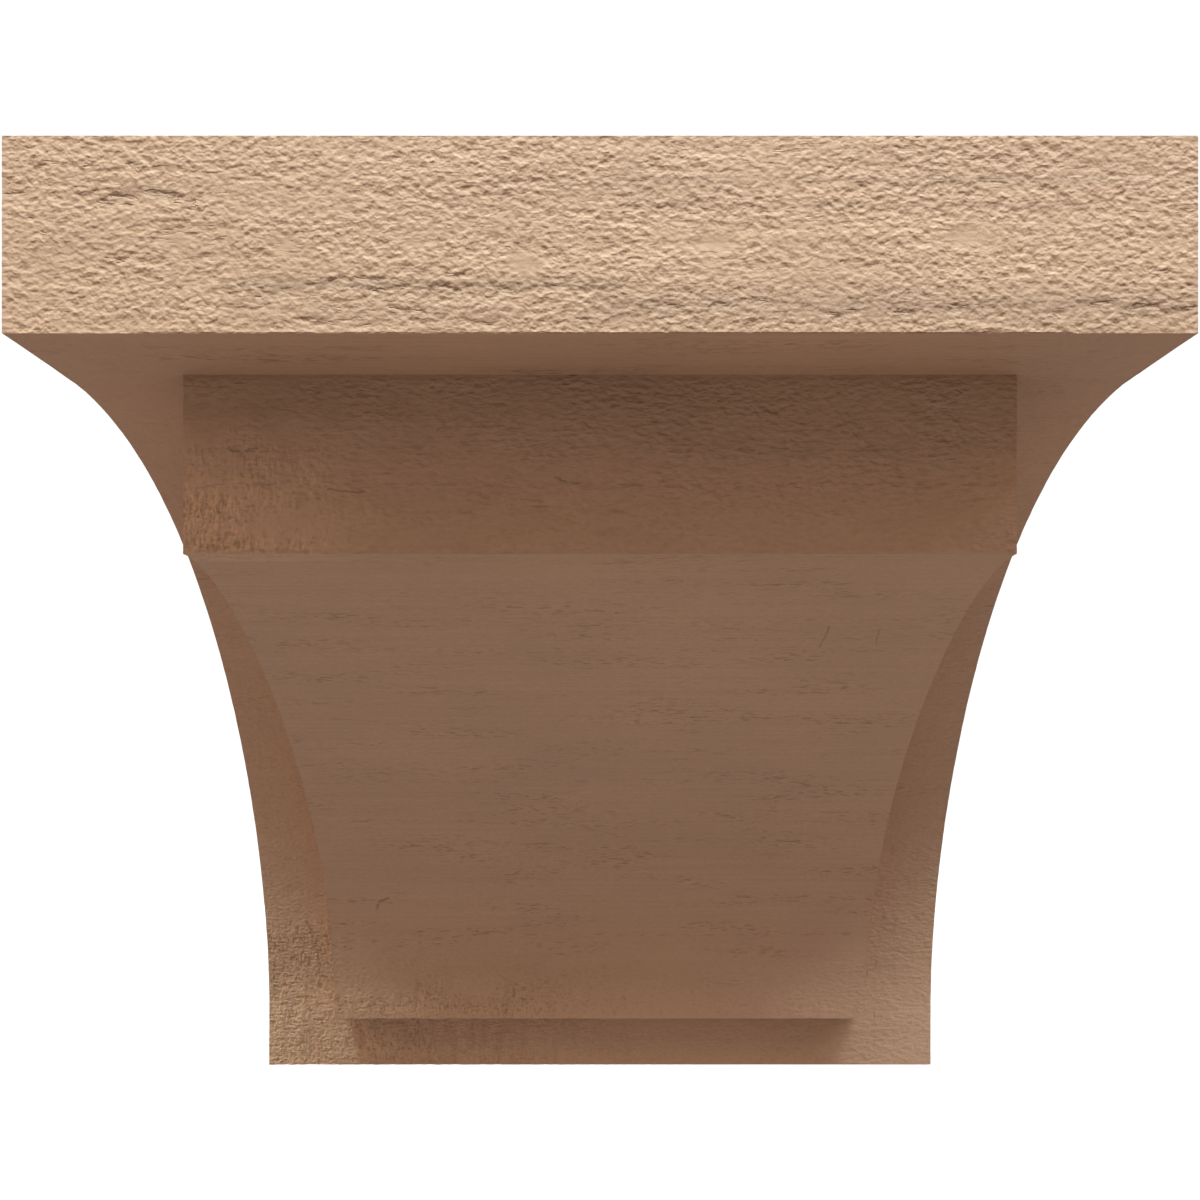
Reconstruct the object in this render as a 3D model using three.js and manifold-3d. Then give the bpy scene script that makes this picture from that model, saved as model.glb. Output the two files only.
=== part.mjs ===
// A moulded urethane corbel: a square cap slab over a coved body, with a raised panel down its middle.
// Millimetres. +X is to the right seen from the front, +Y points into the wall and +Z is up.
// The origin is the centre of the flat back, where the corbel meets the wall.

import * as THREE from 'three';
import { mergeVertices } from 'three/addons/utils/BufferGeometryUtils.js';
import Module from 'manifold-3d';

const inch = 25.4;

// Overall size
const width = 9 * inch;
const height = 9 * inch;
const depth = 8 * inch;

// Cap, the slab that carries the load
const capHeight = 1.5 * inch;
const capOverhang = 1 * inch;

// Body, as wide as the cap, whose cove runs from the cap's underside down to a straight foot
const footThickness = 1 * inch;
const footHeight = 0.75 * inch;
const bodyCoveReach = 3.28 * inch;
const bodyCoveDrop = 2.68 * inch;

// Raised panel, set in from both sides, with a flat face above and a cove of its own below
const panelInset = 1 * inch;
const panelFaceHeight = 1.5 * inch;
const panelProjection = 0.5 * inch;
const panelCoveReach = 1.62 * inch;
const panelCoveDrop = 2.7 * inch;

// Steps along each cove, and the distance within which two corners are one
const coveSteps = 48;
const weldDistance = 0.001;

// Finish
const primerTan = 0xc4a283;
const primerRoughness = 0.8;

// Places worked out from the sizes: y is measured from the wall, z from mid-height
const wall = 0;
const capFront = -depth;
const top = height / 2;
const bottom = -height / 2;
const capUnderside = top - capHeight;
const coveFront = capFront + capOverhang;
const coveFoot = bottom + footHeight;
const footFront = -footThickness;
const panelFaceFoot = capUnderside - panelFaceHeight;
const panelFront = footFront - panelProjection;

// The panel's solid runs on into the cap and the body, so that they become one casting
const panelRoot = footFront / 2;
const panelHead = capUnderside + capHeight / 2;

// A cove leaves its upper end level and reaches its lower end upright.
// reach and drop say how long it keeps each of those two directions.
function addCove(outline, upperZ, lowerY, reach, drop) {
  const upperY = coveFront;
  const lowerZ = coveFoot;
  outline.bezierCurveTo(upperY + reach, upperZ, lowerY, lowerZ + drop, lowerY, lowerZ);
}

function bodyOutline() {
  const outline = new THREE.Shape();
  outline.moveTo(wall, bottom);
  outline.lineTo(wall, top);
  outline.lineTo(capFront, top);
  outline.lineTo(capFront, capUnderside);
  outline.lineTo(coveFront, capUnderside);
  addCove(outline, capUnderside, footFront, bodyCoveReach, bodyCoveDrop);
  outline.lineTo(footFront, bottom);
  outline.closePath();
  return outline;
}

function panelOutline() {
  const outline = new THREE.Shape();
  outline.moveTo(panelRoot, panelHead);
  outline.lineTo(coveFront, panelHead);
  outline.lineTo(coveFront, panelFaceFoot);
  addCove(outline, panelFaceFoot, panelFront, panelCoveReach, panelCoveDrop);
  outline.lineTo(panelRoot, coveFoot);
  outline.closePath();
  return outline;
}

// Carries a side outline across the corbel, centred on its width
function extrudeAcross(outline, span) {
  const settings = { depth: span, curveSegments: coveSteps, bevelEnabled: false };
  const geometry = new THREE.ExtrudeGeometry(outline, settings);
  const across = new THREE.Vector3(1, 0, 0);
  const inward = new THREE.Vector3(0, 1, 0);
  const upward = new THREE.Vector3(0, 0, 1);
  geometry.applyMatrix4(new THREE.Matrix4().makeBasis(inward, upward, across));
  geometry.translate(-span / 2, 0, 0);
  return geometry;
}

function toSolid(wasm, geometry) {
  const bare = geometry.clone();
  bare.deleteAttribute('normal');
  bare.deleteAttribute('uv');
  const welded = mergeVertices(bare, weldDistance);
  const vertProperties = new Float32Array(welded.attributes.position.array);
  const triVerts = new Uint32Array(welded.index.array);
  return new wasm.Manifold(new wasm.Mesh({ numProp: 3, vertProperties, triVerts }));
}

function toGeometry(solid) {
  const mesh = solid.getMesh();
  const geometry = new THREE.BufferGeometry();
  geometry.setAttribute('position', new THREE.BufferAttribute(mesh.vertProperties, 3));
  geometry.setIndex(new THREE.BufferAttribute(mesh.triVerts, 1));
  geometry.computeVertexNormals();
  return geometry;
}

const wasm = await Module();
wasm.setup();

const body = toSolid(wasm, extrudeAcross(bodyOutline(), width));
const panel = toSolid(wasm, extrudeAcross(panelOutline(), width - 2 * panelInset));
const casting = body.add(panel);

const primedUrethane = new THREE.MeshStandardMaterial({
  color: primerTan,
  roughness: primerRoughness,
  metalness: 0,
  flatShading: true,
});

const corbel = new THREE.Mesh(toGeometry(casting), primedUrethane);
corbel.name = 'corbel';

const part = new THREE.Group();
part.add(corbel);

export default part;
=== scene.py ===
import bpy
import numpy as np
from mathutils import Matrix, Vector


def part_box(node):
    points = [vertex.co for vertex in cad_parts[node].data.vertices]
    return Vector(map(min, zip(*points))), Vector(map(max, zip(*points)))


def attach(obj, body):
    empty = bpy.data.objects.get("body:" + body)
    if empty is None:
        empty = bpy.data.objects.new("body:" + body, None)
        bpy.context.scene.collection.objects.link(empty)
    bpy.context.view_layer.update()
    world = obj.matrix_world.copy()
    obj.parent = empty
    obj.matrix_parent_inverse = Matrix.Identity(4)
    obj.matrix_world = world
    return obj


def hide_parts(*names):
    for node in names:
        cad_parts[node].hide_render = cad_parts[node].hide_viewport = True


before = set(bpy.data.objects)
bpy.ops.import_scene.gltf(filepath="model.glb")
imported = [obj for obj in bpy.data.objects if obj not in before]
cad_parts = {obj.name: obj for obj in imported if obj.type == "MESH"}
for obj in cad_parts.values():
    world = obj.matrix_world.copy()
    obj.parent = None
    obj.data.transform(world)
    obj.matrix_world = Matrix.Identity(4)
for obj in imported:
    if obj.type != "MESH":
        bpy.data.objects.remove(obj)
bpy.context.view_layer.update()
print("frame loaded")

boxLow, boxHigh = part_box("corbel")
width = boxHigh.x - boxLow.x
depth = boxHigh.y - boxLow.y
height = boxHigh.z - boxLow.z
inch = width / 9
mm = 0.001

# The casting's profiles, as on the solid
form = {
    "capHeight": 1.5 * inch,
    "capOverhang": 1.0 * inch,
    "footThickness": 1.0 * inch,
    "footHeight": 0.75 * inch,
    "bodyReach": 3.28 * inch,
    "bodyDrop": 2.68 * inch,
    "panelInset": 1.0 * inch,
    "panelFace": 1.5 * inch,
    "panelProjection": 0.5 * inch,
    "panelReach": 1.62 * inch,
    "panelDrop": 2.7 * inch,
}

# Close, level view on the centre line, with the frame shifted up. The picture is 1200 pixels wide.
view = {
    "picture": 1200,
    "focalPixels": 1152,
    "horizonRow": 733.9,
    "fromCap": 219.5 * mm,
    "sensor": 36,
    "clip": 0.01,
}
view["capPixel"] = view["fromCap"] / mm / view["focalPixels"]      # millimetres to a pixel on the cap

# How finely each part of the surface is divided: columns to the inch, and rows of each stretch.
# The cap's front has twice the columns. Stretches that a side meets have an even number of rows.
net = {
    "columns": 26,
    "cap": 82,
    "underside": 20,
    "face": 36,
    "cove": 84,
    "step": 8,
    "foot": 18,
    "side": 32,
    "backLift": 8 * mm,   # how far the side's rows fan out behind the cap's underside
}

# The relief, in millimetres. A size is the length of a lump along x, y and z.
relief = {
    "seat": 0.2,          # how far the mean surface lies under the solid's
    "deepest": 0.45,
    "arris": 0.3,         # share of the relief that is left on an edge
    "calm": 1.8,          # how far from the cap's edges the relief is reduced
    "band": (95, 95, 8.5), "bandHeight": 0.12,
    "streak": (36, 36, 2.0), "streakHeight": 0.05,
    "mound": (8, 8, 4.5), "moundHeight": 0.07,
    "lump": (1.95, 1.95, 1.45), "lumpHeight": 0.158,
    "crumb": (1.2, 1.2, 1.0), "crumbHeight": 0.090,
    "saw": (2.2, 2.2, 14), "sawHeight": 0.30,
    "patch": (11, 11, 6),
    "bend": (6, 6, 4), "bendBy": 0.5,
    "smoothPatch": 0.28,  # share of the lumps that goes in the smooth patches
    "spotCalm": 0.8,      # share that goes in the smooth spots on the cap
    "quiet": 0.22,        # share that is left where the surface faces down
    "quietStrip": 0.85,   # the same beside the panel
    "bandCalm": 0.8,      # share of the bands and streaks that goes there
    "hidden": 0.45,       # share of the small lumps where the surface doesn't face the front
    "sawRight": 0.15,     # share of the saw marks on the right
}

# How the primer's grain, painted shade and painted light change with the place
grading = {
    "recessed": 1.7,      # grain everywhere but on the cap, against the cap's
    "lowLeft": 0.9, "lowRight": 0.62,     # shares of it at the foot
    "upperStrip": 0.55,   # share of it high on the left strip
    "onFace": 0.85, "onCorner": 0.35,     # shares of it on the panel's face and its lower left corner
    "faceLeast": 0.45, "facePatch": 0.55, "faceRise": 0.5,      # how uneven the face is
    "capCavityPaintedShade": 0.25, "cavityPaintedShade": 0.10, "sawnCavityPaintedShade": 0.24,      # how much painted shade darkens the grain's low places
    "calmUnder": 0.7,     # share of that which is taken off under the panel
    "hollowPaintedShadeStrength": 0.3, "hollowAt": 0.36,            # painted shade in the relief's hollows, full at this depth
    "footPaintedLight": 0.15, "footRight": 0.6,   # painted light on the foot, and share of it on the right
    # painted light on the face's lower left corner, and painted shade on the top
    "cornerPaintedLight": 0.20, "topPaintedShade": -0.20,
    "rightFibre": 0.8, "sideFibre": 0.5,  # how fibrous the grain is at the right and on the sides
}

# Where the relief and the primer change, in millimetres. A pair is the start and the end of a soft
# change along -x or -z, as its name says, but along -|x| for underX and along z for stripHighZ. Those
# of normals, noises and the rise have no unit.
zones = {
    "leftX": (-40, 40),               # across the middle, from right to left
    "sawnZ": (60, 68), "sawnPanelZ": (74, 92), "sawnY": -45,
    "faceY": -170, "faceZ": 76,       # the panel's flat face is in front of the one and under the other
    "cornerX": (40, 84), "cornerZ": (-78, -44),      # the face's lower left corner
    "ragged": 8,                      # how far the patches shift the ends of the saw marks
    "panelLowZ": (56, 76), "stripHighZ": (-70, -56),
    "underX": (-66, -50), "underZ": (93, 97),        # on the foot, under the panel
    "footZ": (78, 98),
    "capMargin": 1, "panelMargin": 0.5,              # past the cap's front and the panel's side
    "facesFront": -0.2, "facesDown": (0.05, 0.4), "facesUp": (0.6, 0.9),
    "smoothPatch": (-0.5, 0.1), "facePatch": (-0.3, 0.4),      # of the patches' noise
    "riseX": 60, "riseZ": 19, "riseMiddle": 57,      # the face's grain grows to its upper right, with
    "rise": (-1, 1.5),                               # x / riseX + (z - riseMiddle) / riseZ
}

# One seed for each noise, and three for the bend along x, y and z
seeds = {
    "bend": (11, 12, 13), "mound": 21, "lump": 22, "crumb": 23, "patch": 31,
    "band": 41, "saw": 42, "streak": 43, "wander": 61,
}

lattice = 256          # directions in a noise's table, a power of two
noiseReach = 1.6       # brings a noise to about -1 to 1

# Cracks on the cap's front: pixel column and row of each end in the photograph, and depth in
# millimetres. The surface drops at a crack's line and comes back slowly below it.
cracks = {
    "upperLeft": [(22, 164, 66, 162, 0.34), (78, 161, 100, 166, 0.3), (122, 163, 142, 165, 0.3),
                  (150, 168, 196, 166, 0.2)],
    "edge": [(0, 182, 22, 181, 0.34), (40, 183, 60, 180, 0.26), (0, 192, 30, 191, 0.34),
             (0, 211, 34, 213, 0.26)],
    "main": [(64, 189, 102, 191, 0.36), (100, 193, 146, 195, 0.46), (140, 190, 184, 193, 0.46),
             (170, 198, 190, 203, 0.4)],
    "second": [(90, 201, 140, 202, 0.4), (188, 202, 208, 197, 0.36), (176, 209, 206, 208, 0.34),
               (168, 220, 192, 220, 0.34)],
    "leaning": [(36, 224, 60, 247, 0.34), (206, 224, 238, 227, 0.24), (20, 236, 44, 238, 0.2),
                (96, 262, 128, 258, 0.2)],
    "middle": [(232, 300, 300, 284, 0.24), (296, 283, 350, 277, 0.36), (344, 276, 392, 277, 0.4),
               (362, 289, 414, 285, 0.4)],
    "middleRight": [(422, 284, 472, 288, 0.42), (440, 273, 470, 271, 0.28), (480, 283, 540, 290, 0.26)],
    "lower": [(294, 317, 342, 322, 0.4), (346, 324, 384, 322, 0.24), (380, 306, 430, 309, 0.26),
              (452, 322, 500, 320, 0.22)],
    "right": [(650, 302, 688, 306, 0.36), (704, 306, 730, 302, 0.36), (752, 302, 780, 298, 0.26),
              (812, 312, 866, 310, 0.44)],
    "farRight": [(888, 312, 920, 310, 0.44), (940, 306, 972, 304, 0.42), (980, 300, 1016, 298, 0.2),
                 (1048, 312, 1070, 308, 0.44)],
    "rightEdge": [(1084, 304, 1118, 300, 0.44), (1128, 306, 1164, 304, 0.44), (1176, 310, 1202, 305, 0.42),
                  (1186, 286, 1202, 281, 0.4), (1152, 266, 1172, 270, 0.26), (838, 260, 856, 258, 0.26)],
}
crackShape = {
    "share": 0.65,      # of the depths above
    "lip": 0.25,        # millimetres over which the surface drops
    "fall": 1.2,        # millimetres over which it comes back
    "markAt": 0.2, "markHalf": 0.6, "markDepth": 0.46,      # the crack's line, where splits add grooves and painted shade, full at this depth
    "taper": 0.25,      # share of a crack's length over which it fades at each end
    "wander": (2.6, 2.6, 2.6), "wanderBy": 0.6,
}

# Rows on the cap's front that are lighter or darker, painted light and shade of its ledges: pixel row and
# half height, first and last pixel column, and change of painted light
paintedCourses = [
    (164, 4, 0, 100, 0.08), (172, 5, 100, 200, 0.10), (190, 8, 100, 205, -0.10),
    (181, 5, 600, 1200, -0.12), (192, 4, 800, 1200, 0.08), (203, 6, 620, 1100, -0.08),
    (216, 6, 620, 1200, 0.08), (230, 8, 620, 1000, 0.10), (258, 16, 220, 1200, 0.07),
    (284, 8, 230, 620, -0.19), (301, 14, 600, 1200, -0.14), (312, 14, 230, 1200, -0.06),
    (328, 6, 0, 420, 0.06),
]
courseFade = 4         # millimetres over which a course fades at either end

# Smooth spots on the cap's front: pixel column and row of the middle, and half sizes in pixels
smoothSpots = [
    (174, 238, 17, 10), (286, 245, 17, 11), (522, 264, 18, 11), (716, 243, 16, 9), (960, 236, 20, 9),
]
spotPower = 1.5        # of the squared distance from a spot's middle


def gradientNoise(p, seed):
    # Smooth noise, about -1 to 1: each lattice corner has a random direction, and the eight
    # dot products of direction and offset are blended by 6t^5 - 15t^4 + 10t^3 along each axis.
    rng = np.random.default_rng(seed)
    directions = rng.normal(size=(lattice, 3))
    directions /= np.linalg.norm(directions, axis=1)[:, None]
    table = rng.permutation(lattice)
    cell = np.floor(p).astype(np.int64)
    inside = p - cell
    ease = inside ** 3 * (inside * (inside * 6 - 15) + 10)
    total = np.zeros(len(p))
    last = lattice - 1
    for corner in np.ndindex(2, 2, 2):
        at = (cell + corner) & last
        pick = table[(table[(table[at[:, 0]] + at[:, 1]) & last] + at[:, 2]) & last]
        dots = (directions[pick] * (inside - corner)).sum(1)
        total += dots * np.where(corner, ease, 1 - ease).prod(1)
    return total * noiseReach


def smoothStep(value, start, end):
    # 3t^2 - 2t^3, with t running from 0 at start to 1 at end
    t = np.clip((value - start) / (end - start), 0, 1)
    return t * t * (3 - 2 * t)


def bezier(start, startHandle, endHandle, end, t):
    # Cubic curve and its direction: the four points weighted by the Bernstein polynomials of t
    t = t[:, None]
    point = (1 - t) ** 3 * start + 3 * (1 - t) ** 2 * t * startHandle
    point = point + 3 * (1 - t) * t ** 2 * endHandle + t ** 3 * end
    way = (1 - t) ** 2 * (startHandle - start) + 2 * (1 - t) * t * (endHandle - startHandle)
    way = way + t ** 2 * (end - endHandle)
    return point, way / np.linalg.norm(way, axis=1)[:, None]


def line(start, end, rows):
    # Straight run from start to end, in equal steps, and its direction
    start, end = np.array(start, float), np.array(end, float)
    t = np.linspace(0, 1, rows + 1)[:, None]
    way = (end - start) / np.linalg.norm(end - start)
    return start + (end - start) * t, np.repeat(way[None], rows + 1, 0)


def cove(upperZ, lowerY, lowerZ, reach, drop, rows):
    # Cubic curve that leaves the upper end level and reaches the lower end upright
    upper = np.array([coveFront, upperZ])
    lower = np.array([lowerY, lowerZ])
    t = np.linspace(0, 1, rows + 1)
    return bezier(upper, upper + [reach, 0], lower + [0, drop], lower, t)


def chainNormals(way):
    # A chain runs down the front, so its outside is on the right of its way: (y, z) to (z, -y)
    return np.stack([np.zeros(len(way)), way[:, 1], -way[:, 0]], 1)


surface = {"points": [], "normals": [], "count": 0, "quads": [], "fives": [], "threes": [], "loops": []}


def addGrid(points, normals):
    # Adds a grid of points with their outward normals, and returns the grid of their numbers
    points, normals = np.broadcast_arrays(points, normals)
    shape = points.shape[:-1]
    total = int(np.prod(shape))
    numbers = np.arange(surface["count"], surface["count"] + total).reshape(shape)
    surface["points"].append(points.reshape(-1, 3))
    surface["normals"].append(normals.reshape(-1, 3))
    surface["count"] += total
    return numbers


def turn(faces, turned):
    # Turned the other way, each face has its points in reverse order
    return faces[:, ::-1] if turned else faces


def addQuads(numbers, turned=False):
    # Four-sided faces between neighbouring rows and columns
    corners = (numbers[:-1, :-1], numbers[1:, :-1], numbers[1:, 1:], numbers[:-1, 1:])
    surface["quads"].append(turn(np.stack(corners, -1).reshape(-1, 4), turned))


def addHalving(fine, coarse, turned=False):
    # Five-sided faces between a row and the next one, which has half as many steps
    corners = (fine[0:-2:2], coarse[:-1], coarse[1:], fine[2::2], fine[1::2])
    surface["fives"].append(turn(np.stack(corners, -1), turned))


def sweep(chain, xs):
    # Carries a chain of (y, z) points across the corbel: point (x, y, z) for each row and column
    points, way = chain
    grid = np.empty((len(points), len(xs), 3))
    grid[..., 0] = xs[None, :]
    grid[..., 1:] = points[:, None, :]
    return grid, chainNormals(way)[:, None, :]


capFront = -depth
top = height / 2
bottom = -height / 2
capUnder = top - form["capHeight"]
coveFront = capFront + form["capOverhang"]
coveFoot = bottom + form["footHeight"]
footFront = -form["footThickness"]
panelFoot = footFront - form["panelProjection"]
faceFoot = capUnder - form["panelFace"]

halfWidth = width / 2
halfPanel = halfWidth - form["panelInset"]
coarseColumns = round(width / inch * net["columns"])
fineXs = np.linspace(-halfWidth, halfWidth, 2 * coarseColumns + 1)
xs = fineXs[::2]
stripColumns = net["columns"]      # on each side of the panel
panelXs = xs[stripColumns:len(xs) - stripColumns]

capChain = line((capFront, top), (capFront, capUnder), net["cap"])
undersideChain = line((capFront, capUnder), (coveFront, capUnder), net["underside"])
bodyRows = net["face"] + net["cove"]
bodyChain = cove(capUnder, footFront, coveFoot, form["bodyReach"], form["bodyDrop"], bodyRows)
faceChain = line((coveFront, capUnder), (coveFront, faceFoot), net["face"])
panelChain = cove(faceFoot, panelFoot, coveFoot, form["panelReach"], form["panelDrop"], net["cove"])
stepChain = line((panelFoot, coveFoot), (footFront, coveFoot), net["step"])
footChain = line((footFront, coveFoot), (footFront, bottom), net["foot"])

# Front of the cap, and its underside with half the columns
cap = addGrid(*sweep(capChain, fineXs))
addQuads(cap)
underside = addGrid(*sweep(undersideChain, xs))
undersideEdge = addGrid(*sweep([part[:1] for part in undersideChain], fineXs))
addHalving(undersideEdge[0], underside[1])
addQuads(underside[1:])

# Raised panel: flat face, cove and the step under it
face = addGrid(*sweep(faceChain, panelXs))
addQuads(face)
panel = addGrid(*sweep(panelChain, panelXs))
addQuads(panel)
step = addGrid(*sweep(stepChain, panelXs))
addQuads(step)

# Strips of the body's cove beside the panel, and the walls from them out to the panel
flankPoints = np.concatenate([faceChain[0], panelChain[0][1:]])
inward = np.linspace(0, 1, net["step"] + 1)[None, :, None]
for side, stripXs in ((-1, xs[:stripColumns + 1]), (1, xs[-stripColumns - 1:])):
    strip = addGrid(*sweep(bodyChain, stripXs))
    addQuads(strip)
    wallPoints = np.empty((len(flankPoints), net["step"] + 1, 3))
    wallPoints[..., 0] = side * halfPanel
    wallPoints[..., 1:] = flankPoints[:, None] + (bodyChain[0] - flankPoints)[:, None] * inward
    wall = addGrid(wallPoints, np.array([side, 0.0, 0.0]))
    addQuads(wall[1:], turned=side < 0)
    fan = np.stack([np.full(net["step"], wall[0, 0]), wall[1, :-1], wall[1, 1:]], -1)
    surface["threes"].append(turn(fan, side < 0))

foot = addGrid(*sweep(footChain, xs))
addQuads(foot)

# Sides: straight lines from the front's outline back to the wall
outline = [part[0][:-1] for part in (capChain, undersideChain, bodyChain)] + [footChain[0]]
outline = np.concatenate(outline)
outlineStops = np.cumsum([0, net["cap"], net["underside"], bodyRows, net["foot"]])
backHeights = [top, capUnder + net["backLift"], capUnder, coveFoot, bottom]
backZ = np.interp(np.arange(len(outline)), outlineStops, backHeights)
backLine = np.stack([np.zeros(len(outline)), backZ], 1)
toWall = np.linspace(0, 1, net["side"] + 1)
sides = {}
for side in (-1, 1):
    sidePoints = np.empty((len(outline), net["side"] + 1, 3))
    sidePoints[..., 0] = side * halfWidth
    sidePoints[..., 1:] = outline[:, None] + (backLine - outline)[:, None] * toWall[None, :, None]
    outward = np.array([side, 0.0, 0.0])
    edge = addGrid(sidePoints[:, 0], outward)
    inner = addGrid(sidePoints[::2], outward)
    addHalving(edge, inner[:, 1], turned=side > 0)
    addQuads(inner[:, 1:], turned=side < 0)
    sides[side] = inner

# Top, from the cap's front edge to the wall
topYs = capFront * (1 - toWall)
topPoints = np.empty((len(topYs), len(xs), 3))
topPoints[..., 0] = xs
topPoints[..., 1] = topYs[:, None]
topPoints[..., 2] = top
upward = np.array([0.0, 0.0, 1.0])
topFace = addGrid(topPoints, upward)
topEdgePoints = np.stack([fineXs, np.full(len(fineXs), capFront), np.full(len(fineXs), top)], 1)
topEdge = addGrid(topEdgePoints, upward)
addHalving(topEdge, topFace[1], turned=True)
addQuads(topFace[1:], turned=True)

# The foot's underside and the back are flat, so each is one face
downward = np.array([0.0, 0.0, -1.0])
frontRow = addGrid(np.stack([xs, np.full(len(xs), footFront), np.full(len(xs), bottom)], 1), downward)
backRow = addGrid(np.stack([xs, np.zeros(len(xs)), np.full(len(xs), bottom)], 1), downward)
flankRows = {}
for side in (-1, 1):
    flank = np.empty((net["side"] + 1, 3))
    flank[:, 0] = side * halfWidth
    flank[:, 1] = footFront * (1 - toWall)
    flank[:, 2] = bottom
    flankRows[side] = addGrid(flank, downward)
underLoop = [frontRow[:-1], flankRows[1][:-1], backRow[:0:-1], flankRows[-1][:0:-1]]
surface["loops"].append(np.concatenate(underLoop)[::-1])
backLoop = [topFace[-1][:-1], sides[1][:-1, -1], backRow[:0:-1], sides[-1][:0:-1, -1]]
surface["loops"].append(np.concatenate(backLoop))
print("surface laid out:", surface["count"], "points")


weldStep = 1e-6        # metres within which points are one
weldOffset = 0.137     # keeps round coordinates off the rounding's limits
flatLimit = 0.02       # normals that differ by less count as one direction


def weld(points, normals):
    # Points in one place become one. Its shift direction m keeps n . m = 1 for every face normal n
    # that meets there, so that an edge moves by the same depth into each of its faces.
    keys = np.round(points / weldStep + weldOffset).astype(np.int64)
    _, first, numbers = np.unique(keys, axis=0, return_index=True, return_inverse=True)
    numbers = numbers.reshape(-1)
    products = np.zeros((len(first), 3, 3))
    sums = np.zeros((len(first), 3))
    np.add.at(products, numbers, normals[:, :, None] * normals[:, None, :])
    np.add.at(sums, numbers, normals)
    shift = np.einsum("nij,nj->ni", np.linalg.pinv(products, rcond=flatLimit, hermitian=True), sums)
    outward = sums / np.linalg.norm(sums, axis=1)[:, None]
    return points[first], shift, outward, numbers


def layer(p, name, seed=None):
    # Noise whose lumps have the size of that name: each coordinate is divided by the size along it
    return gradientNoise(p / np.array(relief[name], float), seed or seeds[name])


def onCapFront(column, row):
    # Millimetres across and up on the cap's front for a pixel: its distance from the middle column and
    # the horizon row, times a pixel's size
    across = (np.array(column) - view["picture"] / 2) * view["capPixel"]
    up = (view["horizonRow"] - np.array(row)) * view["capPixel"]
    return across, up


def onFront(columns, rows, chains):
    # Where the view rays through pixels meet the front: each point of the chains has a pixel row,
    # and the wanted row is looked up between them
    points = np.concatenate([part[0] for part in chains])
    inward = np.concatenate([-chainNormals(part[1])[:, 1:] for part in chains])
    points = points + inward * relief["seat"] * mm
    away = points[:, 0] - capFront + view["fromCap"]
    pointRows = view["horizonRow"] - points[:, 1] / away * view["focalPixels"]
    y = np.interp(rows, pointRows, points[:, 0])
    z = np.interp(rows, pointRows, points[:, 1])
    x = (np.array(columns) - view["picture"] / 2) * (y - capFront + view["fromCap"]) / view["focalPixels"]
    return np.stack([x, y, z], 1)


def carveCracks(p):
    # Each crack is a saw-tooth across z: 0 above its line, then -share * depth just under it, fading by
    # exp(-distance / fall). The line is bent by noise and fades at both ends. The mark is a bell
    # exp(-((distance - markAt) / markHalf)^2) along it.
    height = np.zeros(len(p))
    mark = np.zeros(len(p))
    wander = gradientNoise(p / np.array(crackShape["wander"]), seeds["wander"]) * crackShape["wanderBy"]
    for group in cracks.values():
        for column, row, endColumn, endRow, deep in group:
            (left, right), (leftUp, rightUp) = onCapFront([column, endColumn], [row, endRow])
            along = (p[:, 0] - left) / (right - left)
            below = leftUp + (rightUp - leftUp) * along + wander - p[:, 2]
            ends = smoothStep(along, 0, crackShape["taper"]) * smoothStep(1 - along, 0, crackShape["taper"])
            profile = smoothStep(below, 0, crackShape["lip"])
            profile = profile * np.exp(-np.maximum(below, 0) / crackShape["fall"])
            height = np.minimum(height, -deep * crackShape["share"] * profile * ends)
            close = np.exp(-((below - crackShape["markAt"]) / crackShape["markHalf"]) ** 2)
            mark = np.maximum(mark, close * ends * deep / crackShape["markDepth"])
    return height, np.minimum(mark, 1)


def paintedCourseShading(p):
    # Sum of the courses' painted light and shade: each is a bell over the rows, cut off softly at its first
    # and last column
    paintedLightAndShade = np.zeros(len(p))
    for row, halfRows, column, endColumn, change in paintedCourses:
        (left, right), (up, _) = onCapFront([column, endColumn], [row, row])
        bell = np.exp(-((p[:, 2] - up) / (halfRows * view["capPixel"])) ** 2)
        soft = smoothStep(p[:, 0], left - courseFade, left + courseFade)
        soft = soft * smoothStep(-p[:, 0], -right - courseFade, -right + courseFade)
        paintedLightAndShade += change * bell * soft
    return paintedLightAndShade


def smoothed(p):
    # 1 in the middle of the smooth spots and 0 outside them: exp(-r^3), with r the distance from the
    # middle over the half size
    spots = np.zeros(len(p))
    for column, row, halfColumns, halfRows in smoothSpots:
        across, up = onCapFront(column, row)
        reach = ((p[:, 0] - across) / (halfColumns * view["capPixel"])) ** 2
        reach = reach + ((p[:, 2] - up) / (halfRows * view["capPixel"])) ** 2
        spots = np.maximum(spots, np.exp(-reach ** spotPower))
    return spots


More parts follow.
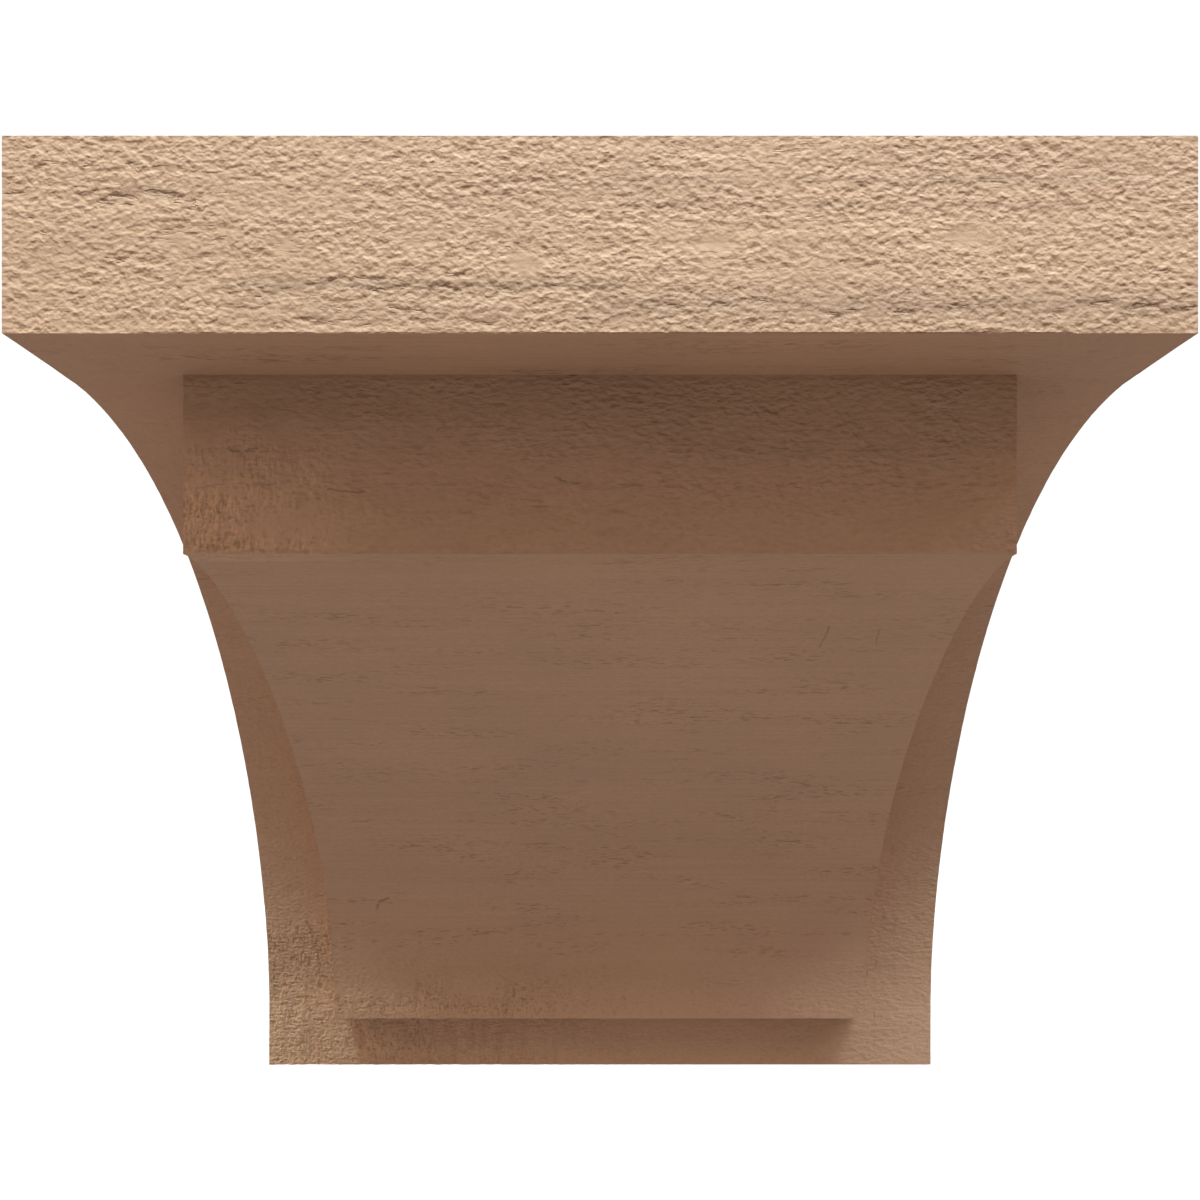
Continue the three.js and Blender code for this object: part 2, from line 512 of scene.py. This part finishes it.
def maskPlaces(p, normal):
    # Where each point is: 0 outside a zone, 1 inside and 3t^2 - 2t^3 across its limit. The patches'
    # noise shifts the limits of the saw marks, so that they end raggedly.
    x, y, z = p.T
    at = {"patch": layer(p, "patch")}
    shifted = zones["ragged"] * at["patch"]
    at["cap"] = y < capFront / mm + zones["capMargin"]
    at["panel"] = np.abs(x) < halfPanel / mm + zones["panelMargin"]
    at["face"] = (y < zones["faceY"]) & (z < zones["faceZ"])
    at["front"] = normal[:, 1] < zones["facesFront"]
    at["down"] = smoothStep(-normal[:, 2], *zones["facesDown"])
    at["left"] = smoothStep(-x, *zones["leftX"])
    sawn = smoothStep(-z, *zones["sawnZ"]) * (y > zones["sawnY"])
    sawn = sawn * (relief["sawRight"] + (1 - relief["sawRight"]) * at["left"])
    sawn = np.where(at["panel"], sawn * smoothStep(-z + shifted, *zones["sawnPanelZ"]), sawn)
    at["corner"] = at["face"] * smoothStep(-x + shifted, *zones["cornerX"])
    at["corner"] = at["corner"] * smoothStep(-z + shifted, *zones["cornerZ"])
    at["sawn"] = np.minimum(sawn + at["corner"], 1)
    at["low"] = np.where(at["panel"], smoothStep(-z, *zones["panelLowZ"]), 1)
    at["highStrip"] = (1 - at["panel"]) * smoothStep(z, *zones["stripHighZ"])
    at["under"] = smoothStep(-np.abs(x), *zones["underX"]) * smoothStep(-z, *zones["underZ"])
    quiet = np.where(at["panel"], relief["quiet"], relief["quietStrip"])
    at["quiet"] = 1 - (1 - quiet) * at["down"]
    rough = 1 - relief["smoothPatch"] + relief["smoothPatch"] * smoothStep(at["patch"], *zones["smoothPatch"])
    at["rough"] = rough * (1 - relief["spotCalm"] * smoothed(p) * at["cap"])
    return at


def carve(p, at):
    # Height of the relief in millimetres: mounds, lumps and crumbs, bent by a noise of their own, fade
    # in patches and where the surface faces down. Bands, streaks, saw marks and cracks are added, and
    # near the cap's edges the sum is reduced to a share. Also gives the cracks' marks.
    bend = np.stack([layer(p, "bend", seed) for seed in seeds["bend"]], 1)
    bent = p + bend * relief["bendBy"]
    facing = np.where(at["front"], 1, relief["hidden"])
    flat = 1 - relief["bandCalm"] * at["down"]
    height = relief["moundHeight"] * layer(bent, "mound")
    height += at["rough"] * facing * relief["lumpHeight"] * layer(bent, "lump")
    height += at["rough"] * facing * relief["crumbHeight"] * layer(bent, "crumb")
    height *= at["quiet"]
    height += relief["bandHeight"] * layer(p, "band") * flat
    height += relief["streakHeight"] * layer(p, "streak") * flat * facing
    height += at["sawn"] * relief["sawHeight"] * layer(bent, "saw")
    onCap = at["cap"]
    crackHeight, crackMark = carveCracks(p[onCap])
    height[onCap] += crackHeight
    toEdge = np.minimum(top / mm - p[:, 2], p[:, 2] - capUnder / mm)
    toEdge = np.minimum(toEdge, halfWidth / mm - np.abs(p[:, 0]))
    calm = relief["arris"] + (1 - relief["arris"]) * smoothStep(toEdge, 0, relief["calm"])
    return np.where(onCap, height * calm, height), crackMark


def gradePrimer(p, normal, at, height, crackMark):
    # Marks that steer the primer: how rough, sawn, cracked and fibrous a point is, how much painted shade
    # darkens its low places and how much painted light or shade makes it lighter or darker. Each is a product
    # of shares of the zones.
    onCap = at["cap"]
    foot = grading["lowRight"] + (grading["lowLeft"] - grading["lowRight"]) * at["left"]
    foot = 1 + (foot - 1) * at["low"]
    foot = foot * (1 - (1 - grading["upperStrip"]) * at["highStrip"] * at["left"])
    uneven = grading["faceLeast"] + grading["facePatch"] * smoothStep(at["patch"], *zones["facePatch"])
    rise = p[:, 0] / zones["riseX"] + (p[:, 2] - zones["riseMiddle"]) / zones["riseZ"]
    uneven = uneven + grading["faceRise"] * smoothStep(rise, *zones["rise"])
    face = grading["onFace"] * uneven + grading["onCorner"] * at["corner"]
    grain = np.where(at["front"], grading["recessed"] * np.where(at["face"], face, foot), 1)
    even = at["rough"] * at["quiet"]
    marks = {"rough": even * np.where(onCap, 1, grain), "sawn": at["sawn"]}
    # painted shade in the grain's low places, less of it under the panel
    marks["cavityPaintedShade"] = even * np.where(onCap, grading["capCavityPaintedShade"], grading["cavityPaintedShade"])
    marks["cavityPaintedShade"] += grading["sawnCavityPaintedShade"] * at["sawn"]
    marks["cavityPaintedShade"] *= 1 - grading["calmUnder"] * at["under"]
    # painted shade in the relief's hollows: the deeper a point lies, the darker its primer
    marks["paintedHollowShade"] = np.clip(-height / grading["hollowAt"], 0, 1) * grading["hollowPaintedShadeStrength"]
    marks["crack"] = np.zeros(len(p))
    marks["crack"][onCap] = crackMark
    leftMore = grading["footRight"] + (1 - grading["footRight"]) * at["left"]
    # painted light and shade: a lighter foot and lower left face corner, a darker top, lighter or darker
    # courses on the cap
    marks["paintedLightAndShade"] = grading["footPaintedLight"] * smoothStep(-p[:, 2], *zones["footZ"]) * leftMore
    marks["paintedLightAndShade"] += grading["cornerPaintedLight"] * at["corner"]
    marks["paintedLightAndShade"] += grading["topPaintedShade"] * smoothStep(normal[:, 2], *zones["facesUp"])
    marks["paintedLightAndShade"][onCap] = paintedCourseShading(p[onCap])
    fibrous = grading["rightFibre"] * (1 - at["left"]) * at["low"]
    fibrous = np.where(at["face"], 1 - at["sawn"], fibrous)
    fibrous = np.where(onCap, 0, fibrous)
    marks["fibrous"] = np.where(normal[:, 1] > zones["facesFront"], grading["sideFibre"], fibrous)
    return marks


arrisShift = 1.2       # a longer shift means that the point lies on an edge
sharpAngle = 50        # degrees between faces from which an edge is drawn sharp


def makeCorbel():
    # One closed mesh: each welded point moves inwards along its shift by seat - height, and an edge
    # keeps a share of the height
    allPoints = np.concatenate(surface["points"])
    points, shift, outward, numbers = weld(allPoints, np.concatenate(surface["normals"]))
    at = maskPlaces(points / mm, outward)
    height, crackMark = carve(points / mm, at)
    marks = gradePrimer(points / mm, outward, at, height, crackMark)
    height = np.clip(height, -relief["deepest"], relief["seat"])
    onArris = np.linalg.norm(shift, axis=1) > arrisShift
    height = np.where(onArris, height * relief["arris"], height)
    points = points - shift * ((relief["seat"] - height) * mm)[:, None]
    groups = [np.concatenate(surface["quads"]), np.concatenate(surface["fives"])]
    groups += [np.concatenate(surface["threes"])] + [loop[None] for loop in surface["loops"]]
    groups = [numbers[group] for group in groups]
    sizes = np.concatenate([np.full(len(group), group.shape[1]) for group in groups])
    mesh = bpy.data.meshes.new("corbelSkin")
    mesh.vertices.add(len(points))
    mesh.vertices.foreach_set("co", points.astype(np.float32).ravel())
    mesh.loops.add(int(sizes.sum()))
    corners = np.concatenate([group.ravel() for group in groups])
    mesh.loops.foreach_set("vertex_index", corners.astype(np.int32))
    mesh.polygons.add(len(sizes))
    mesh.polygons.foreach_set("loop_start", (np.cumsum(sizes) - sizes).astype(np.int32))
    mesh.update(calc_edges=True)
    mesh.validate(verbose=True)
    mesh.polygons.foreach_set("use_smooth", np.ones(len(mesh.polygons), bool))
    mesh.set_sharp_from_angle(angle=np.radians(sharpAngle))
    for name, values in marks.items():
        mesh.attributes.new(name, "FLOAT", "POINT").data.foreach_set("value", values.astype(np.float32))
    skin = bpy.data.objects.new("corbelSkin", mesh)
    bpy.context.scene.collection.objects.link(skin)
    print("skin:", len(points), "points,", int((sizes - 2).sum()), "triangles")
    return skin


# Tan primer, in linear colour. Scales are repeats to the metre along x, y and z.
primer = {
    "tan": (0.600, 0.420, 0.280),
    "cavityPaintedShadeTan": (0.52, 0.42, 0.36),     # what the painted shade takes away in the grain's low places
    # colour towards which the painted shade of hollows, dashes, splits and nicks blends
    "paintedShadeTan": (0.30, 0.185, 0.115),
    "roughness": 0.62,
    "cloud": (22, 22, 60), "cloudRange": (0.97, 1.03),
    "streak": (14, 1100, 1100), "streakRange": (-0.05, 0.04), "streakHeight": 0.10,
    "mottle": (700, 1500, 1500), "mottleRange": (-0.035, 0.035),
    "grain": (800, 900, 1040), "grainWarp": 0.1,
    "fibre": (540, 700, 1000), "fibreWarp": 0.2,
    "grainHeight": 0.44, "grainRoughness": 0.4,
    "weft": (1080, 1080, 500), "warp": (500, 1080, 1120), "wovenWarp": 0.2,
    "cavityFrom": 0.26, "cavityTo": 0.46,      # values of the grain that count as low places, which get painted shade
    "dash": (330, 1500, 1500), "dashWarp": 0.4, "dashFibrous": 0.04, "dashFrom": 0.56, "dashTo": 0.68,
    # dashes are shallow grooves that also get painted shade
    "dashHeight": -0.10, "dashPaintedShade": 0.55,
    "rowHalf": 0.006,     # half of a row of dashes, as a share of the height under the cap
    "cluster": (26, 150, 150), "clusterFrom": 0.46, "clusterTo": 0.70,
    "plainFrom": 0.6, "plainTo": 0.8, "plainShare": 0.7,     # rough places have fewer dashes
    "split": (300, 1000, 1000), "splitWarp": 0.7, "splitReach": 0.38, "splitFrom": 0.74, "splitTo": 0.90,
    # splits are grooves along the cracks that also get painted shade
    "splitHeight": -0.14, "splitPaintedShade": 0.38,
    "nickBend": 900, "nickBendBy": 0.9 * mm, "nickEdge": (0.6, 1.3), "nickFrom": 0.30, "nickTo": 0.44,
    # nicks have no bump: they are drawn only as painted shade
    "nickPaintedShade": 0.6,
}
noiseMiddle = 0.5
noiseSpread = (0.3, 0.7)      # where nearly all values of a noise lie

# Rows of small dashes: pixel row in the photograph, and strength
dashRows = {409: 0.5, 449: 0.6, 485: 0.9, 594: 0.5, 621: 0.8, 650: 0.8, 781: 0.7, 821: 1.0, 934: 0.9}

# Separate nicks, scratches drawn only as painted shade: the piece of the front that carries them, pixel
# columns and rows along each, and half of its breadth in millimetres
nicks = {
    "corner": {"on": "panel", "column": [229, 232, 240, 257], "row": [447, 451, 452, 449], "half": 0.33},
    "faceLong": {"on": "panel", "column": [328, 346, 364], "row": [489, 492, 492], "half": 0.28},
    "faceRight": {"on": "panel", "column": [555, 567, 585], "row": [478, 482, 484], "half": 0.30},
    "hook": {"on": "panel", "column": [388, 379, 377], "row": [898, 902, 908], "half": 0.48},
    "short": {"on": "panel", "column": [615, 624], "row": [613, 613], "half": 0.30},
    "leaning": {"on": "panel", "column": [829, 825, 819], "row": [627, 638, 647], "half": 0.30},
    "leaningRight": {"on": "panel", "column": [879, 876], "row": [629, 644], "half": 0.20},
    "stripLeft": {"on": "strip", "column": [306.5, 311], "row": [921, 931], "half": 0.42},
    "stripRight": {"on": "strip", "column": [876, 874], "row": [959, 1018], "half": 0.26},
    "stripRightUpper": {"on": "strip", "column": [869, 867], "row": [928, 976], "half": 0.26},
}


class Nodes:
    # Small helper that adds and joins nodes of one material or world
    def __init__(self, tree):
        self.tree = tree
        tree.nodes.clear()

    def add(self, kind, inputs=None, **settings):
        node = self.tree.nodes.new(kind)
        for name, value in settings.items():
            setattr(node, name, value)
        for name, value in (inputs or {}).items():
            if isinstance(value, bpy.types.NodeSocket):
                self.tree.links.new(value, node.inputs[name])
            else:
                node.inputs[name].default_value = value
        return node

    def math(self, operation, *values):
        inputs = dict(enumerate(values))
        return self.add("ShaderNodeMath", inputs, operation=operation).outputs["Value"]

    def vector(self, operation, *values, **named):
        inputs = {**dict(enumerate(values)), **named}
        node = self.add("ShaderNodeVectorMath", inputs, operation=operation)
        return node.outputs["Value" if operation in ("DOT_PRODUCT", "DISTANCE") else "Vector"]

    def ramp(self, value, start, end, low=0.0, high=1.0):
        inputs = {"Value": value, "From Min": start, "From Max": end, "To Min": low, "To Max": high}
        return self.add("ShaderNodeMapRange", inputs).outputs["Result"]

    def noise(self, place, scale, roughness=0.55, warp=0.0):
        mapped = self.vector("MULTIPLY", place, scale)
        inputs = {"Vector": mapped, "Scale": 1.0, "Detail": 1.0, "Roughness": roughness, "Distortion": warp}
        return self.add("ShaderNodeTexNoise", inputs).outputs["Fac"]

    def blend(self, share, first, second):
        node = self.add("ShaderNodeMix", {"Factor": share}, data_type="RGBA")
        for name, value in (("A", first), ("B", second)):
            socket = next(item for item in node.inputs if item.name == name and item.type == "RGBA")
            if isinstance(value, bpy.types.NodeSocket):
                self.tree.links.new(value, socket)
            else:
                socket.default_value = (*value, 1)
        return next(item for item in node.outputs if item.type == "RGBA")


def closeToNicks(nodes, place):
    # 1 on a nick and 0 beside it: the distance to each nick's segments over its half breadth, and the
    # least of all. A noise bends the nicks a little.
    fronts = {
        "panel": (capChain, faceChain, panelChain, footChain),
        "strip": (capChain, bodyChain, footChain),
    }
    wobble = nodes.add("ShaderNodeTexNoise", {"Vector": place, "Scale": primer["nickBend"], "Detail": 1.0})
    offset = nodes.vector("SUBTRACT", wobble.outputs["Color"], (noiseMiddle, noiseMiddle, noiseMiddle))
    place = nodes.vector("ADD", place, nodes.vector("SCALE", offset, Scale=primer["nickBendBy"]))
    least = None
    for nick in nicks.values():
        points = onFront(nick["column"], nick["row"], fronts[nick["on"]])
        for start, end in zip(points[:-1], points[1:]):
            way = end - start
            offset = nodes.vector("SUBTRACT", place, start)
            along = nodes.vector("DOT_PRODUCT", offset, way / (way @ way))
            held = nodes.add("ShaderNodeClamp", {"Value": along}).outputs["Result"]
            nearest = nodes.vector("SCALE", way, Scale=held)
            gap = nodes.vector("DISTANCE", offset, nearest)
            gap = nodes.math("MULTIPLY", gap, 1 / (nick["half"] * mm))
            least = gap if least is None else nodes.math("MINIMUM", least, gap)
    return nodes.ramp(least, *primer["nickEdge"], 1.0, 0.0)


def closeToRows(nodes, place):
    # Strength of the rows of dashes over z, as a ramp with a peak at each row, on the panel alone
    fronts = (capChain, faceChain, panelChain, footChain)
    heights = onFront(np.zeros(len(dashRows)), list(dashRows), fronts)[:, 2]
    parts = nodes.add("ShaderNodeSeparateXYZ", {"Vector": place}).outputs
    onPanel = nodes.math("LESS_THAN", nodes.math("ABSOLUTE", parts["X"]), halfPanel)
    ramp = nodes.add("ShaderNodeValToRGB", {"Fac": nodes.ramp(parts["Z"], bottom, capUnder)})
    stops = ramp.color_ramp.elements
    while len(stops) > 1:
        stops.remove(stops[0])
    stops[0].position = 1.0
    stops[0].color = (0, 0, 0, 1)
    half = primer["rowHalf"]
    for centre, strength in zip((heights - bottom) / (capUnder - bottom), dashRows.values()):
        for position, value in ((centre - half, 0), (centre, strength), (centre + half, 0)):
            stops.new(float(np.clip(position, 0, 1))).color = (value, value, value, 1)
    return nodes.math("MULTIPLY", ramp.outputs["Color"], onPanel)


def makePrimer():
    # Grain, dashes and splits are noises on the place, mixed and masked by the skin's marks. They
    # drive a bump in millimetres, and the low places, dashes, splits and nicks are also darker, as painted
    # shade.
    material = bpy.data.materials.new("tanPrimer")
    material.use_nodes = True
    nodes = Nodes(material.node_tree)
    place = nodes.add("ShaderNodeTexCoord").outputs["Object"]
    markNames = ("rough", "sawn", "paintedHollowShade", "crack", "paintedLightAndShade", "fibrous", "cavityPaintedShade")
    marks = [nodes.add("ShaderNodeAttribute", attribute_name=name).outputs["Fac"] for name in markNames]
    rough, sawn, paintedHollowShade, crack, paintedLightAndShade, fibrous, cavityPaintedShade = marks

    grain = nodes.noise(place, primer["grain"], primer["grainRoughness"], primer["grainWarp"])
    fibre = nodes.noise(place, primer["fibre"], primer["grainRoughness"], primer["fibreWarp"])
    grain = nodes.add("ShaderNodeMix", {"Factor": fibrous, "A": grain, "B": fibre}).outputs["Result"]
    weft = nodes.noise(place, primer["weft"], warp=primer["wovenWarp"])
    warp = nodes.noise(place, primer["warp"], warp=primer["wovenWarp"])
    woven = nodes.math("SUBTRACT", nodes.math("ADD", weft, warp), noiseMiddle)
    grain = nodes.add("ShaderNodeMix", {"Factor": sawn, "A": grain, "B": woven}).outputs["Result"]

    # Dashes show in clusters and in rows, and splits mainly along the cracks
    dash = nodes.noise(place, primer["dash"], warp=primer["dashWarp"])
    dash = nodes.math("MULTIPLY_ADD", fibrous, primer["dashFibrous"], dash)
    dash = nodes.ramp(dash, primer["dashFrom"], primer["dashTo"])
    cluster = nodes.noise(place, primer["cluster"])
    cluster = nodes.ramp(cluster, primer["clusterFrom"], primer["clusterTo"])
    plain = nodes.ramp(rough, primer["plainFrom"], primer["plainTo"], 1.0, 1 - primer["plainShare"])
    cluster = nodes.math("MULTIPLY", cluster, plain)
    dash = nodes.math("MULTIPLY", dash, nodes.math("MAXIMUM", cluster, closeToRows(nodes, place)))
    split = nodes.noise(place, primer["split"], warp=primer["splitWarp"])
    split = nodes.math("MULTIPLY_ADD", crack, primer["splitReach"], split)
    split = nodes.ramp(split, primer["splitFrom"], primer["splitTo"])

    streak = nodes.noise(place, primer["streak"])
    height = nodes.math("MULTIPLY", grain, primer["grainHeight"])
    height = nodes.math("MULTIPLY", height, rough)
    even = nodes.math("SUBTRACT", 1.0, rough)
    height = nodes.math("MULTIPLY_ADD", nodes.math("MULTIPLY", streak, even), primer["streakHeight"], height)
    height = nodes.math("MULTIPLY_ADD", dash, primer["dashHeight"], height)
    height = nodes.math("MULTIPLY_ADD", split, primer["splitHeight"], height)
    bump = nodes.add("ShaderNodeBump", {"Height": height, "Distance": mm, "Strength": 1.0})

    cloud = nodes.noise(place, primer["cloud"])
    lighter = nodes.ramp(cloud, *noiseSpread, *primer["cloudRange"])
    # painted shade: the grain's low places are darkened
    recess = nodes.ramp(grain, primer["cavityFrom"], primer["cavityTo"], -1.0, 0.0)
    cavityPaintedShade = nodes.math("MULTIPLY", recess, cavityPaintedShade)
    lined = nodes.math("MULTIPLY", nodes.ramp(streak, *noiseSpread, *primer["streakRange"]), even)
    lighter = nodes.math("ADD", lighter, lined)
    mottle = nodes.noise(place, primer["mottle"])
    lighter = nodes.math("ADD", lighter, nodes.ramp(mottle, *noiseSpread, *primer["mottleRange"]))
    # painted light and shade of the foot, the face's corner, the top and the cap's courses
    lighter = nodes.math("ADD", lighter, paintedLightAndShade)
    tan = nodes.vector("ADD", nodes.vector("SCALE", primer["tan"], Scale=lighter),
                       nodes.vector("SCALE", primer["cavityPaintedShadeTan"], Scale=cavityPaintedShade))
    # painted shade: hollows, dashes, splits and nicks blend towards the shade colour
    paintedShade = nodes.math("MAXIMUM", paintedHollowShade, nodes.math("MULTIPLY", dash, primer["dashPaintedShade"]))
    paintedShade = nodes.math("MAXIMUM", paintedShade, nodes.math("MULTIPLY", split, primer["splitPaintedShade"]))
    nick = closeToNicks(nodes, place)
    nick = nodes.math("MULTIPLY", nick, nodes.ramp(grain, primer["nickFrom"], primer["nickTo"]))
    paintedShade = nodes.math("MAXIMUM", paintedShade, nodes.math("MULTIPLY", nick, primer["nickPaintedShade"]))
    colour = nodes.blend(paintedShade, tan, primer["paintedShadeTan"])
    shader = nodes.add("ShaderNodeBsdfPrincipled", {
        "Base Color": colour, "Roughness": primer["roughness"], "Normal": bump.outputs["Normal"]})
    output = nodes.add("ShaderNodeOutputMaterial")
    nodes.tree.links.new(shader.outputs["BSDF"], output.inputs["Surface"])
    return material


def makeCamera():
    # The focal length and the shift follow from the focal pixels and the horizon's row
    data = bpy.data.cameras.new("camera")
    data.sensor_width = view["sensor"]
    data.lens = view["sensor"] * view["focalPixels"] / view["picture"]
    data.shift_y = (view["horizonRow"] - view["picture"] / 2) / view["picture"]
    data.clip_start = view["clip"]
    camera = bpy.data.objects.new("camera", data)
    camera.location = (0, capFront - view["fromCap"], 0)
    camera.rotation_euler = (np.pi / 2, 0, 0)
    bpy.context.scene.collection.objects.link(camera)
    bpy.context.scene.camera = camera


studio = {
    "ambient": (0.195, 0.164, 0.159),
    "floorDrop": 2.0,
    "floorSize": 40,
    "floorGlow": 1.0,
    "floorColour": (0.9, 0.9, 0.9),
    "floorRoughness": 0.9,
    "paperGlow": 1.1,
}

# Soft boxes: bearing and height in degrees as seen from the corbel's middle, distance, breadth and
# length in metres, and power in watts for red, green and blue
softBoxes = {
    "key": {"bearing": 0, "rise": 66, "away": 1.8, "size": (2.0, 0.35), "power": (49.1, 55.2, 53.6)},
    "left": {"bearing": -45, "rise": 22, "away": 1.8, "size": (1.0, 1.0), "power": (3.3, 1.8, 1.2)},
    "leftUpper": {"bearing": -75, "rise": 30, "away": 1.8, "size": (0.9, 0.9), "power": (8.3, 5.4, 3.3)},
    "right": {"bearing": 60, "rise": 30, "away": 1.8, "size": (0.6, 0.6), "power": (3.3, 2.0, 0.5)},
    "rightUpper": {"bearing": 60, "rise": 45, "away": 1.8, "size": (0.6, 0.6), "power": (5.1, 4.2, 6.8)},
    "bounce": {"bearing": 0, "rise": -86, "away": 1.5, "size": (2.4, 2.4), "power": (7.3, 5.6, 4.6)},
}


def makeStudio():
    # The camera sees white paper, and everything else the dim ambient light and the soft boxes
    world = bpy.data.worlds.new("studio")
    bpy.context.scene.world = world
    world.use_nodes = True
    nodes = Nodes(world.node_tree)
    ambient = nodes.add("ShaderNodeBackground", {"Color": (*studio["ambient"], 1), "Strength": 1.0})
    paper = nodes.add("ShaderNodeBackground", {"Color": (1, 1, 1, 1), "Strength": studio["paperGlow"]})
    seen = nodes.add("ShaderNodeLightPath").outputs["Is Camera Ray"]
    mixed = nodes.add("ShaderNodeMixShader", {"Fac": seen, 1: ambient.outputs[0], 2: paper.outputs[0]})
    output = nodes.add("ShaderNodeOutputWorld")
    nodes.tree.links.new(mixed.outputs[0], output.inputs["Surface"])
    middle = Vector((0, capFront / 2, 0))
    for name, box in softBoxes.items():
        data = bpy.data.lights.new(name, "AREA")
        data.shape = "RECTANGLE"
        data.size, data.size_y = box["size"]
        data.energy = max(box["power"])
        data.color = [power / data.energy for power in box["power"]]
        lamp = bpy.data.objects.new(name, data)
        lamp.visible_camera = False
        bearing, rise = np.radians(box["bearing"]), np.radians(box["rise"])
        toward = Vector((np.sin(bearing) * np.cos(rise), -np.cos(bearing) * np.cos(rise), np.sin(rise)))
        lamp.location = middle + toward * box["away"]
        lamp.rotation_mode = "QUATERNION"
        lamp.rotation_quaternion = (-toward).to_track_quat("-Z", "Y")
        bpy.context.scene.collection.objects.link(lamp)


def makeFloor():
    # A pale floor far below, which reflections and bounced light don't see
    half = studio["floorSize"] / 2
    level = bottom - studio["floorDrop"]
    corners = [(-half, -half, level), (half, -half, level), (half, half, level), (-half, half, level)]
    mesh = bpy.data.meshes.new("floor")
    mesh.from_pydata(corners, [], [(0, 1, 2, 3)])
    floor = bpy.data.objects.new("floor", mesh)
    bpy.context.scene.collection.objects.link(floor)
    material = bpy.data.materials.new("paleFloor")
    material.use_nodes = True
    shader = material.node_tree.nodes["Principled BSDF"]
    shader.inputs["Base Color"].default_value = (*studio["floorColour"], 1)
    shader.inputs["Roughness"].default_value = studio["floorRoughness"]
    shader.inputs["Emission Color"].default_value = (1, 1, 1, 1)
    shader.inputs["Emission Strength"].default_value = studio["floorGlow"]
    mesh.materials.append(material)
    floor.visible_diffuse = False
    floor.visible_glossy = False


skin = makeCorbel()
skin.data.materials.append(makePrimer())
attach(skin, "root")
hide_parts("corbel")
makeCamera()
makeStudio()
makeFloor()
bpy.context.scene.view_settings.view_transform = "Standard"
print("scene dressed")
